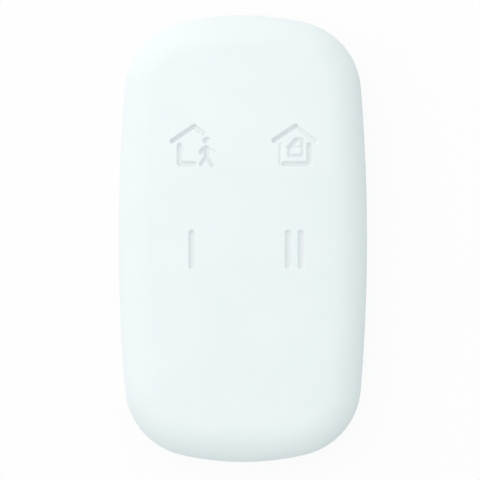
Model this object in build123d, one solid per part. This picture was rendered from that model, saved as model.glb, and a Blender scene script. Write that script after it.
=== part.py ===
from build123d import *
from functools import cache
import math
import os

# Alarm key fob: a hand transmitter with four keys hidden under one seamless soft skin.
# Lengths are in millimetres. The origin is the middle of the back face. +Z points out of the front,
# which carries the signs, +Y points to the strap end, and +X is to the right seen from the front.

# Outline of the case: bowed ends, nearly straight sides and large corners, as tangent arcs
length = 68.0
width = 37.8
end_radius = 41.8
side_radius = 285.0
corner_radius = 11.0

# Crowned front and rolled rims
crown_radius_across = 110.0
crown_radius_along = 450.0
front_edge_radius = 5.6
back_edge_radius = 3.4
parting_band = 0.9

# Walls of the case
skin_wall = 1.0
bond_gap = 0.05
frame_wall = 1.2
back_wall = 1.4
parting_gap = 0.1
spigot_clearance = 0.15
spigot_depth = 1.1
cut_overrun = 1.0

# Coin cell, with its cap towards the circuit board
cell_radius = 10.0
cell_height = 3.2
cell_cap_inset = 1.15
cell_cap_height = 0.25
cell_edge_radius = 0.35
cell_from_tail = 23.0
cell_play = 0.05

# Battery door: flange, plate, ring wall round the cell and three bayonet lugs
door_recess = 0.15
door_gap = 0.15
door_flange_wall = 0.8
door_plate_wall = 0.5
door_flange_width = 2.3
door_cell_gap = 0.35
door_tab_wall = 0.75
door_edge_chamfer = 0.25
door_turn = 40.0
lug_count = 3
lug_angle = 24.0
lug_reach = 1.15
lug_height = 0.7
lug_clearance = 0.1
notch_angle_clearance = 1.5
stop_angle = 8.0
stop_angle_clearance = 2.0
stop_wall = 0.8
rest_rib_height = 0.35
rest_rib_radius = 6.5
rest_rib_wall = 1.0
coin_slot_length = 13.0
coin_slot_width = 2.0
coin_slot_depth = 0.75

# Seat of the door in the rear cover, and the flat ring that seals it
seat_ledge_wall = 0.75
seat_rim_wall = 1.35
gasket_height = 0.4
gasket_width = 0.75
gasket_inset = 0.3
gasket_play = 0.02

# Circuit board
board_thickness = 1.0
board_wall_gap = 1.05
board_over_cell = 0.45
board_hole_clearance = 0.2
board_play = 0.02

# Holder ring round the cell, open on one side for the contact of the rim
holder_clearance = 0.25
holder_wall = 1.35
holder_door_gap = 0.13
holder_mouth = 5.0
holder_lead_in = 0.4
peg_radius = 0.5
peg_length = 0.7
peg_clearance = 0.05
peg_angles = (90.0, 210.0, 330.0)

# Sprung contacts, bent from strip
contact_sheet = 0.2
contact_play = 0.02
rim_contact_width = 3.6
rim_contact_foot = 1.9
rim_contact_slope = 0.78
rim_contact_drop = 1.1
rim_contact_tail = 0.38
cap_contact_width = 3.0
cap_contact_foot = 4.0
cap_contact_reach = 5.4
cap_contact_tip = 1.0
cap_contact_tip_rise = 0.16

# Four keys: two columns, two rows
key_column = 7.77
key_from_head = 19.5
key_pitch = 16.05
key_width = 10.4
key_length = 12.0
key_corner_radius = 2.2
key_clearance = 0.2
key_skin_gap = 0.05
key_edge_wall = 0.8
key_pocket_inset = 1.7
key_pocket_depth = 0.5
key_rib_wall = 0.8
key_post_radius = 1.3
key_post_height = 0.35

# Shallow pockets that lighten the thick roof of the frame at the tail
core_columns = 2
core_width = 7.4
core_length = 5.0
core_depth = 0.8
core_rib = 1.2
core_corner = 0.8
core_below_keys = 2.0
core_from_tail = 10.5
roof_clearance = 0.5

# Press switch under each key
switch_size = 5.2
switch_base_height = 0.9
switch_base_corner = 0.5
switch_well_radius = 2.0
switch_well_floor = 0.15
switch_cover_sheet = 0.2
switch_leg_width = 1.6
switch_leg_gap = 0.03
switch_leg_drop = 0.7
stem_radius = 1.0
stem_rise = 0.5
stem_clearance = 0.15
stem_flange_radius = 1.6
stem_flange_height = 0.2
stem_flange_gap = 0.05
dome_radius = 1.8
dome_height = 0.42
dome_sheet = 0.06
dome_lift = 0.05

# Screws, their bosses and the posts that clamp the board
screw_from_side = 8.3
screw_from_end = 9.0
screw_radius = 0.85
screw_tip = 0.6
screw_head_radius = 1.5
screw_head_height = 1.1
screw_head_recess = 0.6
screw_head_clearance = 0.15
screw_hole_clearance = 0.1
screw_reach = 3.15
pilot_clearance = 0.02
pilot_spare_depth = 0.4
back_boss_radius = 2.9
back_boss_height = 4.0
boss_gap = 0.05
front_boss_radius = 1.9
post_radius = 1.1
side_post_from_side = 6.5
tail_post_column = 5.5
tail_post_from_tail = 5.5

# Indicator lamp and its light guide under the skin
lamp_from_head = 10.0
lamp_length = 1.6
lamp_width = 0.8
lamp_height = 0.55
guide_radius = 1.25
guide_clearance = 0.05
guide_flange_width = 0.65
guide_flange_height = 0.35
guide_lamp_gap = 0.1
guide_collar_wall = 0.7
guide_collar_gap = 0.1

# Parts on the circuit board
chip_size = 5.0
chip_height = 0.85
chip_column = -5.0
chip_from_head = 18.5
crystal_length = 3.2
crystal_width = 2.5
crystal_height = 0.8
crystal_corner = 0.4
crystal_column = 3.0
small_part_length = 1.0
small_part_width = 0.5
small_part_height = 0.4
small_part_pitch = 1.3
small_part_gap = 0.9
small_part_rows = 4
antenna_boss_gap = 1.2
antenna_from_head = 7.8
antenna_depth = 2.2
antenna_bend_radius = 1.2
antenna_sheet = 0.3
antenna_height = 0.7
antenna_lift = 0.4
antenna_leg = 1.2

# Strap anchor in the head end of the rear cover
strap_block_half_width = 4.6
strap_block_depth = 8.2
strap_pocket_width = 5.2
strap_pocket_span = 2.8
strap_pocket_from_head = 4.3
strap_pocket_spare = 0.1
strap_bore_radius = 0.9
strap_bore_height = 2.5
strap_spigot_gap = 0.4

# Heights worked out from the stack of pieces, from the back face up
parting_height = back_edge_radius + parting_band
flange_top = door_recess + door_flange_wall
plate_top = flange_top + door_plate_wall
ledge_bottom = flange_top + gasket_play + gasket_height
ledge_top = ledge_bottom + seat_ledge_wall
lug_bottom = ledge_top + lug_clearance
lug_top = lug_bottom + lug_height
cell_bottom = plate_top + rest_rib_height + cell_play
cell_top = cell_bottom + cell_height
board_bottom = cell_top + board_over_cell
board_top = board_bottom + board_thickness
switch_top = board_top + switch_base_height + switch_cover_sheet
stem_top = switch_top + stem_rise
key_bottom = stem_top + key_post_height
frame_roof = switch_top + roof_clearance
lamp_top = board_top + lamp_height

# Radii and places worked out from the pieces that they fit
head_end, tail_end = length / 2, -length / 2
key_row_top = head_end - key_from_head
screw_column, screw_row = width / 2 - screw_from_side, length / 2 - screw_from_end
side_post_column = width / 2 - side_post_from_side
lamp_row = head_end - lamp_from_head
chip_row = head_end - chip_from_head
antenna_row = head_end - antenna_from_head
antenna_half_span = screw_column - front_boss_radius - antenna_boss_gap
cell_cap_radius = cell_radius - cell_cap_inset
cell_place = tail_end + cell_from_tail
tab_inner_radius = cell_radius + door_cell_gap
tab_outer_radius = tab_inner_radius + door_tab_wall
door_radius = tab_outer_radius + door_flange_width
opening_radius = tab_outer_radius + door_gap
lug_radius = tab_outer_radius + lug_reach
notch_radius = lug_radius + door_gap
seat_radius = door_radius + door_gap
frame_outer = skin_wall + bond_gap
frame_inner = frame_outer + frame_wall
spigot_outer = back_wall + spigot_clearance
post_row = key_row_top - key_pitch / 2
strap_pocket_far = head_end - strap_pocket_from_head
strap_pocket_top = strap_bore_height + strap_bore_radius + strap_pocket_spare

keys = {
    "away": (-key_column, key_row_top),
    "home": (key_column, key_row_top),
    "one": (-key_column, key_row_top - key_pitch),
    "two": (key_column, key_row_top - key_pitch),
}
screw_places = [(x, y) for x in (-screw_column, screw_column) for y in (-screw_row, screw_row)]
post_places = [(side * side_post_column, post_row) for side in (-1, 1)]
post_places += [(side * tail_post_column, tail_end + tail_post_from_tail) for side in (-1, 1)]


def crown_drop(x, y, inset=0):
    # Fall of the crowned front from its highest point to the place x, y, as a shallow paraboloid
    return x**2 / (2 * (crown_radius_across - inset)) + y**2 / (2 * (crown_radius_along - inset))


# The crown clears the outer corner of the upper keys, which sets the thickness
key_corner_drop = crown_drop(key_column + key_width / 2, key_row_top + key_length / 2, frame_outer)
thickness = key_bottom + key_edge_wall + key_corner_drop + key_skin_gap + frame_outer


def corner_centre():
    # Centre of a corner arc: it touches the end arc and the side arc from inside
    end_y = length / 2 - end_radius
    side_x = width / 2 - side_radius
    to_end, to_side = end_radius - corner_radius, side_radius - corner_radius
    apart = math.hypot(side_x, end_y)
    along = (to_end**2 - to_side**2 + apart**2) / (2 * apart)
    off = math.sqrt(to_end**2 - along**2)
    return (along * side_x - off * end_y) / apart, end_y - (along * end_y + off * side_x) / apart


def outline(inset=0):
    # Face inside the eight tangent arcs of the outline, drawn in by an inset
    centre_x, centre_y = corner_centre()
    radius = corner_radius - inset
    end_turn = math.atan2(centre_y - (length / 2 - end_radius), centre_x)
    side_turn = math.atan2(centre_y, centre_x - (width / 2 - side_radius))
    turns = (end_turn, (end_turn + side_turn) / 2, side_turn)
    head, bend, flank = [(centre_x + radius * math.cos(t), centre_y + radius * math.sin(t)) for t in turns]
    tip, edge = (0, length / 2 - inset), (width / 2 - inset, 0)

    def flipped(point, x_sign, y_sign):
        return point[0] * x_sign, point[1] * y_sign

    arcs = []
    for a, b in ((1, 1), (1, -1), (-1, -1), (-1, 1)):
        arcs.append(ThreePointArc(flipped(head, a, b), flipped(bend, a, b), flipped(flank, a, b)))
    for s in (1, -1):
        arcs.append(ThreePointArc(flipped(head, -1, s), flipped(tip, 1, s), flipped(head, 1, s)))
        arcs.append(ThreePointArc(flipped(flank, s, 1), flipped(edge, s, 1), flipped(flank, s, -1)))
    return make_face(arcs)


def crown_block(inset):
    # Everything below the crowned front. A quadratic patch is exact, with its middle row of control
    # points as far above the apex as the edges are below it.
    reach_x, reach_y = width / 2 + cut_overrun, length / 2 + cut_overrun
    rise_x, rise_y = crown_drop(reach_x, 0, inset), crown_drop(0, reach_y, inset)
    grid = []
    for i in (-1, 0, 1):
        lift_x = rise_x if i == 0 else -rise_x
        row = []
        for j in (-1, 0, 1):
            lift_y = rise_y if j == 0 else -rise_y
            row.append((i * reach_x, j * reach_y, thickness - inset + lift_x + lift_y))
        grid.append(row)
    return extrude(Face.make_bezier_surface(grid), 2 * thickness, dir=(0, 0, -1))


@cache
def upper_form(inset):
    # Everything under the crowned front and its rolled rim, drawn in evenly by an inset
    body = extrude(outline(inset), thickness) & crown_block(inset)
    crown = body.faces().filter_by(GeomType.BEZIER)[0]
    return fillet(crown.edges(), front_edge_radius - inset)


def lower_form(inset):
    # The back and its rolled rim up to the parting line, drawn in evenly by an inset
    body = plate(inset, inset, parting_height)
    back = body.faces().sort_by(Axis.Z)[0]
    return fillet(back.edges(), back_edge_radius - inset)


def plate(inset, bottom, top):
    return Pos(0, 0, bottom) * extrude(outline(inset), top - bottom)


def everything(bottom, top):
    # Block between two heights, wider than the case
    return plate(-cut_overrun, bottom, top)


def cylinder(x, y, radius, bottom, top):
    return Pos(x, y, bottom) * extrude(Circle(radius), top - bottom)


def ring(x, y, inner, outer, bottom, top):
    return Pos(x, y, bottom) * extrude(Circle(outer) - Circle(inner), top - bottom)


def block(x, y, size_x, size_y, bottom, top, corner=0):
    face = RectangleRounded(size_x, size_y, corner) if corner else Rectangle(size_x, size_y)
    return Pos(x, y, bottom) * extrude(face, top - bottom)


def sector(x, y, inner, outer, start, turn, bottom, top):
    # Part of a ring, from a start angle through a turn, in degrees
    middle = Pos((inner + outer) / 2, (bottom + top) / 2)
    profile = Plane.XZ * middle * Rectangle(outer - inner, top - bottom)
    return Pos(x, y, 0) * Rot(0, 0, start) * revolve(profile, Axis.Z, turn)


def key_block(name, grow, bottom, top):
    x, y = keys[name]
    return block(x, y, key_width + 2 * grow, key_length + 2 * grow, bottom, top, key_corner_radius + grow)


def front_skin():
    shell = upper_form(0) - upper_form(skin_wall)
    return shell & everything(parting_height + parting_gap, thickness + cut_overrun)


def guide_foot():
    return lamp_top + guide_lamp_gap


def guide_collar_bottom():
    return guide_foot() + guide_flange_height + guide_collar_gap


def frame_cavity():
    # Room over the circuit board, with a roof rolled like the rim outside it
    cavity = plate(frame_inner, parting_height - spigot_depth, frame_roof)
    roof = cavity.faces().sort_by(Axis.Z)[-1]
    cavity = fillet(roof.edges(), front_edge_radius - frame_inner)
    for x, y in core_places():
        cavity += block(x, y, core_width, core_length, frame_roof, frame_roof + core_depth, core_corner)
    return cavity


def core_places():
    # As many rows of pockets as fit between the lower keys and the tail
    top = key_row_top - key_pitch - key_length / 2 - core_below_keys
    rows = int((top - tail_end - core_from_tail) // (core_length + core_rib))
    columns = [(column - (core_columns - 1) / 2) * (core_width + core_rib) for column in range(core_columns)]
    lines = [top - core_length / 2 - row * (core_length + core_rib) for row in range(rows)]
    return [(x, y) for x in columns for y in lines]


def frame_features():
    # Bosses, board posts and the light guide's collar, which hang from the roof
    boss_bottom, post_bottom = back_boss_height + boss_gap, board_top + board_play
    parts = [cylinder(x, y, front_boss_radius, boss_bottom, frame_roof) for x, y in screw_places]
    parts += [cylinder(x, y, post_radius, post_bottom, frame_roof) for x, y in post_places]
    guide_outer = guide_radius + guide_clearance + guide_collar_wall
    parts.append(cylinder(0, lamp_row, guide_outer, guide_collar_bottom(), frame_roof))
    return parts


def pilot_top():
    return back_boss_height + boss_gap + screw_reach + pilot_spare_depth


def spigot():
    # Rim that drops inside the rear cover and leaves room for the strap anchor
    rim = plate(spigot_outer, parting_height - spigot_depth, parting_height)
    gap_width = 2 * (strap_block_half_width + strap_spigot_gap)
    return rim - block(0, length / 2, gap_width, length / 2, 0, thickness)


def front_frame():
    outer = upper_form(frame_outer) & everything(parting_height, thickness + cut_overrun)
    cavity = frame_cavity() - frame_features()
    frame = outer + spigot() - cavity
    frame -= [key_block(name, key_clearance, board_top, thickness) for name in keys]
    frame -= [cylinder(x, y, screw_radius + pilot_clearance, 0, pilot_top()) for x, y in screw_places]
    return frame - cylinder(0, lamp_row, guide_radius + guide_clearance, 0, thickness)


def door_angles(start):
    return [start + 360 * lug / lug_count for lug in range(lug_count)]


def strap_anchor():
    # Block behind the end wall that the strap's cord is threaded through
    middle = head_end - strap_block_depth / 2
    solid = block(0, middle, 2 * strap_block_half_width, strap_block_depth, 0, parting_height)
    return solid & lower_form(back_wall / 2)


def strap_pocket():
    slot = SlotOverall(strap_pocket_width, strap_pocket_span)
    return Pos(0, strap_pocket_far - strap_pocket_span / 2, 0) * extrude(slot, strap_pocket_top)


def strap_bore():
    run = Plane((0, strap_pocket_far - strap_pocket_span / 2, strap_bore_height), z_dir=(0, 1, 0))
    return extrude(run * Circle(strap_bore_radius), strap_pocket_from_head + strap_pocket_span)


def door_stops():
    # Short walls on the ledge, at both ends of each lug's travel
    half_lug = lug_angle / 2 + stop_angle_clearance
    inner = opening_radius + door_gap
    outer = inner + stop_wall
    starts = [angle + half_lug for angle in door_angles(90)]
    starts += [angle - door_turn - half_lug - stop_angle for angle in door_angles(90)]
    return [sector(0, cell_place, inner, outer, start, stop_angle, ledge_top, lug_top) for start in starts]


def rear_cover():
    shell = lower_form(0) - lower_form(back_wall)
    seat_outer = seat_radius + seat_rim_wall
    added = [cylinder(0, cell_place, seat_outer, back_wall / 2, ledge_top), strap_anchor()]
    added += [cylinder(x, y, back_boss_radius, back_wall / 2, back_boss_height) for x, y in screw_places]
    added += [cylinder(x, y, post_radius, back_wall / 2, board_bottom) for x, y in post_places]
    cover = shell + added
    cover += door_stops()
    cover -= cylinder(0, cell_place, seat_radius, 0, ledge_bottom)
    cover -= cylinder(0, cell_place, opening_radius, 0, board_bottom)
    notch_turn = lug_angle + 2 * notch_angle_clearance
    for angle in door_angles(90 - door_turn):
        start = angle - notch_turn / 2
        cover -= sector(0, cell_place, 0, notch_radius, start, notch_turn, 0, ledge_top)
    for x, y in screw_places:
        head_room = screw_head_radius + screw_head_clearance
        cover -= cylinder(x, y, head_room, 0, screw_head_recess + screw_head_height)
        cover -= cylinder(x, y, screw_radius + screw_hole_clearance, 0, back_boss_height)
    return cover - strap_pocket() - strap_bore()


def case_screws():
    # Four pan-headed self-tapping screws with tapered tips
    head_top = screw_head_recess + screw_head_height
    tip = back_boss_height + boss_gap + screw_reach
    radius, fine = screw_radius, screw_radius / 3
    screws = []
    for x, y in screw_places:
        profile = Polyline(
            (0, 0, screw_head_recess), (screw_head_radius, 0, screw_head_recess),
            (screw_head_radius, 0, head_top), (radius, 0, head_top),
            (radius, 0, tip - screw_tip), (fine, 0, tip), (0, 0, tip), (0, 0, screw_head_recess))
        screws.append(Pos(x, y, 0) * revolve(make_face(profile), Axis.Z))
    return Compound(children=screws)


def key_pad(name):
    # Stiff pad under the skin: its top follows the crown, its post stands on the switch
    x, y = keys[name]
    pad = key_block(name, 0, key_bottom, thickness) & upper_form(frame_outer + key_skin_gap)
    pocket_width, pocket_length = key_width - 2 * key_pocket_inset, key_length - 2 * key_pocket_inset
    pocket_top = key_bottom + key_pocket_depth
    pocket = block(x, y, pocket_width, pocket_length, key_bottom, pocket_top)
    pocket -= block(x, y, key_rib_wall, key_length, key_bottom, pocket_top)
    pocket -= block(x, y, key_width, key_rib_wall, key_bottom, pocket_top)
    pocket -= cylinder(x, y, key_post_radius, key_bottom, pocket_top)
    return pad - pocket + cylinder(x, y, key_post_radius, stem_top, pocket_top)


def switch_base(name):
    x, y = keys[name]
    top = board_top + switch_base_height
    base = block(x, y, switch_size, switch_size, board_top, top, switch_base_corner)
    return base - cylinder(x, y, switch_well_radius, board_top + switch_well_floor, switch_top)


def switch_cover(name):
    # Steel plate over the base, with two legs folded down its sides
    x, y = keys[name]
    bottom = board_top + switch_base_height
    cover = block(x, y, switch_size, switch_size, bottom, switch_top, switch_base_corner)
    leg_middle = switch_size / 2 + switch_leg_gap + switch_cover_sheet / 2
    for side in (-1, 1):
        foot = block(x + side * leg_middle, y, switch_cover_sheet, switch_leg_width,
                     bottom - switch_leg_drop, switch_top)
        tongue = block(x + side * leg_middle / 2, y, leg_middle, switch_leg_width, bottom, switch_top)
        cover += [foot, tongue]
    return cover - cylinder(x, y, stem_radius + stem_clearance, bottom, switch_top)


def switch_stem(name):
    x, y = keys[name]
    flange_top_height = switch_top - switch_cover_sheet - stem_flange_gap
    flange_bottom = flange_top_height - stem_flange_height
    stem = cylinder(x, y, stem_radius, flange_bottom, stem_top)
    return stem + cylinder(x, y, stem_flange_radius, flange_bottom, flange_top_height)


def snap_dome(name):
    # Shallow sprung disc: a slice of a thin ball
    x, y = keys[name]

    def arc(rim, rise):
        ball = (rim**2 + rise**2) / (2 * rise)
        bend = rise - ball + math.sqrt(ball**2 - (rim / 2)**2)
        return ThreePointArc((0, 0, rise), (rim / 2, 0, bend), (rim, 0, 0))

    outer, inner = arc(dome_radius, dome_height), arc(dome_radius - dome_sheet, dome_height - dome_sheet)
    face = make_face([outer, inner, Line(outer @ 0, inner @ 0), Line(outer @ 1, inner @ 1)])
    return Pos(x, y, board_top + switch_well_floor + dome_lift) * revolve(face, Axis.Z)


def circuit_board():
    board = plate(frame_inner + board_wall_gap, board_bottom, board_top)
    hole = front_boss_radius + board_hole_clearance
    board -= [cylinder(x, y, hole, 0, thickness) for x, y in screw_places]
    return board - [cylinder(x, y, peg_radius + peg_clearance, 0, thickness) for x, y in peg_places()]


def peg_places():
    middle = cell_radius + holder_clearance + holder_wall / 2
    turns = [math.radians(angle) for angle in peg_angles]
    return [(middle * math.cos(turn), cell_place + middle * math.sin(turn)) for turn in turns]


def cell_holder():
    inner = cell_radius + holder_clearance
    outer = inner + holder_wall
    bottom = lug_top + holder_door_gap
    holder = ring(0, cell_place, inner, outer, bottom, board_bottom)
    lead_in = Cone(inner + holder_lead_in, inner, holder_lead_in)
    holder -= Pos(0, cell_place, bottom + holder_lead_in / 2) * lead_in
    holder -= block(outer, cell_place, outer, holder_mouth, bottom, board_bottom)
    pegs = [cylinder(x, y, peg_radius, board_bottom, board_bottom + peg_length) for x, y in peg_places()]
    return holder + pegs


def coin_cell():
    can_top = cell_top - cell_cap_height
    can = cylinder(0, cell_place, cell_radius, cell_bottom, can_top)
    can = fillet(can.edges().filter_by(GeomType.CIRCLE), cell_edge_radius)
    return can + cylinder(0, cell_place, cell_cap_radius, can_top, cell_top)


def bent_strip(points, strip_width):
    # Strip of sheet bent along a line drawn in a side view through the middle of the cell
    face = Plane.XZ * trace(Polyline(*points), contact_sheet)
    return Pos(0, cell_place, 0) * extrude(face, strip_width / 2, both=True)


def rim_contact():
    # Touches the rim of the cell through the mouth of the holder
    foot_height = board_bottom - contact_sheet / 2
    touch = cell_radius + contact_play + contact_sheet / 2
    touch_height = foot_height - rim_contact_drop
    knee = touch + rim_contact_slope
    return bent_strip([(knee + rim_contact_foot, foot_height), (knee, foot_height), (touch, touch_height),
                       (touch + rim_contact_tail, touch_height - rim_contact_drop)], rim_contact_width)


def cap_contact():
    # Two sprung arms press on the cap of the cell
    foot_height = board_bottom - contact_sheet / 2
    touch_height = cell_top + contact_play + contact_sheet / 2
    half_foot, tip = cap_contact_foot / 2, cap_contact_reach + cap_contact_tip
    tip_height = touch_height + cap_contact_tip_rise
    arm = [(half_foot, foot_height), (cap_contact_reach, touch_height), (tip, tip_height)]
    mirrored = [(-x, z) for x, z in reversed(arm)]
    return bent_strip(mirrored + arm, cap_contact_width)


def battery_door():
    flange = cylinder(0, cell_place, door_radius, door_recess, flange_top)
    flange = chamfer(flange.edges().sort_by(Axis.Z)[0], door_edge_chamfer)
    door = flange + cylinder(0, cell_place, tab_outer_radius, flange_top, plate_top)
    door += ring(0, cell_place, tab_inner_radius, tab_outer_radius, plate_top, lug_top)
    half_rib = rest_rib_wall / 2
    rib_top = plate_top + rest_rib_height
    door += ring(0, cell_place, rest_rib_radius - half_rib, rest_rib_radius + half_rib, plate_top, rib_top)
    for angle in door_angles(90 - lug_angle / 2):
        door += sector(0, cell_place, tab_inner_radius, lug_radius, angle, lug_angle, lug_bottom, lug_top)
    slot = SlotOverall(coin_slot_length, coin_slot_width)
    return door - Pos(0, cell_place, door_recess) * extrude(slot, coin_slot_depth)


def door_gasket():
    outer = seat_radius - gasket_inset
    return ring(0, cell_place, outer - gasket_width, outer, flange_top + gasket_play, ledge_bottom)


def radio_chip():
    return block(chip_column, chip_row, chip_size, chip_size, board_bottom - chip_height, board_bottom)


def crystal_can():
    x, bottom = crystal_column, board_bottom - crystal_height
    return block(x, chip_row, crystal_length, crystal_width, bottom, board_bottom, crystal_corner)


def chip_parts():
    # A row of resistors and capacitors on each side of the radio chip
    bottom = board_bottom - small_part_height
    parts = []
    for side in (-1, 1):
        x = chip_column + side * (chip_size / 2 + small_part_gap)
        for row in range(small_part_rows):
            y = chip_row + (row - (small_part_rows - 1) / 2) * small_part_pitch
            parts.append(block(x, y, small_part_length, small_part_width, bottom, board_bottom))
    return Compound(children=parts)


def strip_antenna():
    # Upright strip bent to a wide U round the head of the board, on two legs
    near, far, side_x = antenna_row, antenna_row + antenna_depth, antenna_half_span
    corners = [(-side_x, near), (-side_x, far), (side_x, far), (side_x, near)]
    line = FilletPolyline(*corners, radius=antenna_bend_radius)
    bottom = board_top + antenna_lift
    strip = Pos(0, 0, bottom) * extrude(trace(line, antenna_sheet), antenna_height)
    for side in (-1, 1):
        leg_y = near + antenna_leg / 2
        strip += block(side * side_x, leg_y, antenna_sheet, antenna_leg, board_top, bottom + antenna_height)
    return strip


def indicator_lamp():
    return block(0, lamp_row, lamp_length, lamp_width, board_top, lamp_top)


def light_guide():
    # Clear rod from above the lamp to the underside of the skin, with a flange below its collar
    foot = guide_foot()
    guide = cylinder(0, lamp_row, guide_radius, foot, thickness)
    guide += cylinder(0, lamp_row, guide_radius + guide_flange_width, foot, foot + guide_flange_height)
    return guide & upper_form(frame_outer)


def pieces():
    # Every separate piece with its name
    yield "front_skin", front_skin()
    yield "front_frame", front_frame()
    yield "rear_cover", rear_cover()
    yield "case_screws", case_screws()
    for name in keys:
        yield f"key_pad_{name}", key_pad(name)
        yield f"switch_base_{name}", switch_base(name)
        yield f"switch_cover_{name}", switch_cover(name)
        yield f"switch_stem_{name}", switch_stem(name)
        yield f"snap_dome_{name}", snap_dome(name)
    yield "circuit_board", circuit_board()
    yield "radio_chip", radio_chip()
    yield "crystal_can", crystal_can()
    yield "chip_parts", chip_parts()
    yield "strip_antenna", strip_antenna()
    yield "indicator_lamp", indicator_lamp()
    yield "light_guide", light_guide()
    yield "cell_holder", cell_holder()
    yield "coin_cell", coin_cell()
    yield "cap_contact", cap_contact()
    yield "rim_contact", rim_contact()
    yield "battery_door", battery_door()
    yield "door_gasket", door_gasket()


os.makedirs("parts", exist_ok=True)
for piece_name, solid in pieces():
    export_step(solid, f"parts/{piece_name}.step")
print("thickness", round(thickness, 3), "strap wall", strap_pocket_from_head)
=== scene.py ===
import bpy
import bmesh
import math
import numpy as np
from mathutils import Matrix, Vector


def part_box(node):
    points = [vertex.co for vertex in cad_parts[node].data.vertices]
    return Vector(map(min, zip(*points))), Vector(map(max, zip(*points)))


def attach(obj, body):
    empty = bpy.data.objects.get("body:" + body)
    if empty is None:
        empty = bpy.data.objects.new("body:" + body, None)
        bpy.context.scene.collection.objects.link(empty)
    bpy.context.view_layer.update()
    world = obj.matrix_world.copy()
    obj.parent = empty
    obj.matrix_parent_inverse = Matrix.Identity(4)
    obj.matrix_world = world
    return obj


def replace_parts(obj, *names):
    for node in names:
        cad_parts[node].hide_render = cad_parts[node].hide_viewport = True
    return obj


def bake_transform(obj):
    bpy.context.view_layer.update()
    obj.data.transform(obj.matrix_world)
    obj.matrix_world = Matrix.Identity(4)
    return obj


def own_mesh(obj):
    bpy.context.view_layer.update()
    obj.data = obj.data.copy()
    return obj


# Alarm key fob with a seamless soft front: skin, screws, door marks, finishes, floor, light and camera.
# Sizes here are in millimetres and become metres when a mesh is made.

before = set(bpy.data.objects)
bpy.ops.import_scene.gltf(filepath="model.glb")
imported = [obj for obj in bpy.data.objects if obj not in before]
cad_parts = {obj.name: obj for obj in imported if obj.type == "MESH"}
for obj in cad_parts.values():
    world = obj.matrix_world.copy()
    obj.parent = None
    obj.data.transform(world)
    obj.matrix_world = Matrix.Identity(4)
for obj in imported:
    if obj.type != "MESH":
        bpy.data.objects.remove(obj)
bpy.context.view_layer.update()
mm = 0.001

# The form of the case, as the CAD has it
caseForm = {
    "endRadius": 41.8,
    "sideRadius": 285.0,
    "cornerRadius": 11.0,
    "crownAcross": 110.0,
    "crownAlong": 450.0,
    "rimRadius": 5.6,
    "skinWall": 1.0,
    "skinEdge": 0.25,
}
skinLow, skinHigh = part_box("front_skin")
caseLength = (skinHigh.y - skinLow.y) / mm
caseWidth = (skinHigh.x - skinLow.x) / mm
caseTop = skinHigh.z / mm
skinBottom = skinLow.z / mm


# Meshes

def gridQuads(rows, columns, closed=False):
    # Corner numbers of each cell of a grid of points, row after row
    wide = columns if closed else columns - 1
    row, column = np.meshgrid(np.arange(rows - 1), np.arange(wide), indexing="ij")
    low = row * columns + column
    side = row * columns + (column + 1) % columns
    return np.stack([low, side, side + columns, low + columns], -1).reshape(-1, 4)


def makePiece(name, sheets, material, weld=0.001, sharp=38.0):
    # One mesh from several grids of points: (points, closed round, cells to keep or None). Points
    # nearer than weld become one, and edges that turn by more than sharp degrees stay sharp.
    points, quads, count = [], [], 0
    for grid, closed, keep in sheets:
        cells = gridQuads(grid.shape[0], grid.shape[1], closed)
        if keep is not None:
            cells = cells[keep.ravel()]
        points.append(grid.reshape(-1, 3))
        quads.append(cells + count)
        count += grid.shape[0] * grid.shape[1]
    mesh = bpy.data.meshes.new(name)
    mesh.from_pydata((np.concatenate(points) * mm).tolist(), [], np.concatenate(quads).tolist())
    form = bmesh.new()
    form.from_mesh(mesh)
    bmesh.ops.remove_doubles(form, verts=form.verts, dist=weld * mm)
    bmesh.ops.dissolve_degenerate(form, dist=weld * mm, edges=form.edges)
    loose = [v for v in form.verts if not v.link_faces]
    bmesh.ops.delete(form, geom=loose, context="VERTS")
    bmesh.ops.recalc_face_normals(form, faces=form.faces)
    form.to_mesh(mesh)
    form.free()
    mesh.shade_smooth()
    mesh.set_sharp_from_angle(angle=math.radians(sharp))
    mesh.materials.append(material)
    piece = bpy.data.objects.new(name, mesh)
    bpy.context.scene.collection.objects.link(piece)
    return piece


def solidSheets(top, under):
    # A closed slab: upper grid, lower grid and the four walls between their edges
    sheets = [(top, False, None), (under, False, None)]
    for edge in (np.s_[0, :], np.s_[-1, :], np.s_[:, 0], np.s_[:, -1]):
        sheets.append((np.stack([top[edge], under[edge]]), False, None))
    return sheets


def stack3(x, y, z):
    # Points from their x, y and z, each a number or an array
    return np.stack(np.broadcast_arrays(x, y, z), -1).astype(float)


# Outline and crown of the case

def cornerCentre():
    # The corner arc touches the end arc and the side arc from inside: two circles about their
    # centres, less the corner radius, cross at the corner arc's centre
    endY = caseLength / 2 - caseForm["endRadius"]
    sideX = caseWidth / 2 - caseForm["sideRadius"]
    toEnd = caseForm["endRadius"] - caseForm["cornerRadius"]
    toSide = caseForm["sideRadius"] - caseForm["cornerRadius"]
    apart = math.hypot(sideX, endY)
    along = (toEnd**2 - toSide**2 + apart**2) / (2 * apart)
    off = math.sqrt(toEnd**2 - along**2)
    return (along * sideX - off * endY) / apart, endY - (along * endY + off * sideX) / apart


cornerX, cornerY = cornerCentre()
endCentre = caseLength / 2 - caseForm["endRadius"]
sideCentre = caseWidth / 2 - caseForm["sideRadius"]
turnToCorner = math.atan2(cornerY, cornerX - sideCentre)
turnToEnd = math.atan2(cornerY - endCentre, cornerX)


def ofArc(turn, side, corner, end):
    # One of three values, by the arc of the outline whose outward direction is turn
    quarter = np.arctan2(np.abs(np.sin(turn)), np.abs(np.cos(turn)))
    return np.select([quarter < turnToCorner, quarter < turnToEnd], [side, corner], end)


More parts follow.
